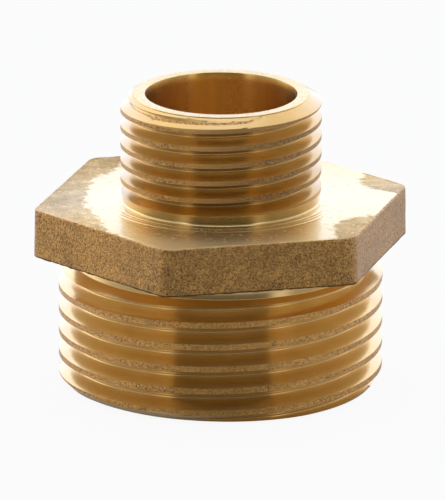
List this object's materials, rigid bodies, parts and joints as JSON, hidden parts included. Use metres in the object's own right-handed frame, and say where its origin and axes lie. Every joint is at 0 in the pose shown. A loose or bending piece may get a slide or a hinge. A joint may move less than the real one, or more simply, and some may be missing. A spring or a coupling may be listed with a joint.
{
  "type": "hexagonal reducing pipe nipple",
  "caption": "One-piece brass pipe nipple that joins two female threads of different sizes, with a wrench hexagon between a wide and a narrow male thread and a stepped bore through it.",
  "frame": {"origin": "centre of the large end face, on which the nipple stands", "axes": "+Z along the bore axis towards the small end, +X towards a corner of the hexagon, +Y towards the middle of a flat"},
  "size_m": [0.0388, 0.034, 0.0301],
  "materials": {
    "brass": "turned bright threads and end faces, dull as-cast hexagon"
  },
  "bodies": {
    "root": {"nipple_body": "brass"}
  },
  "joints": []
}
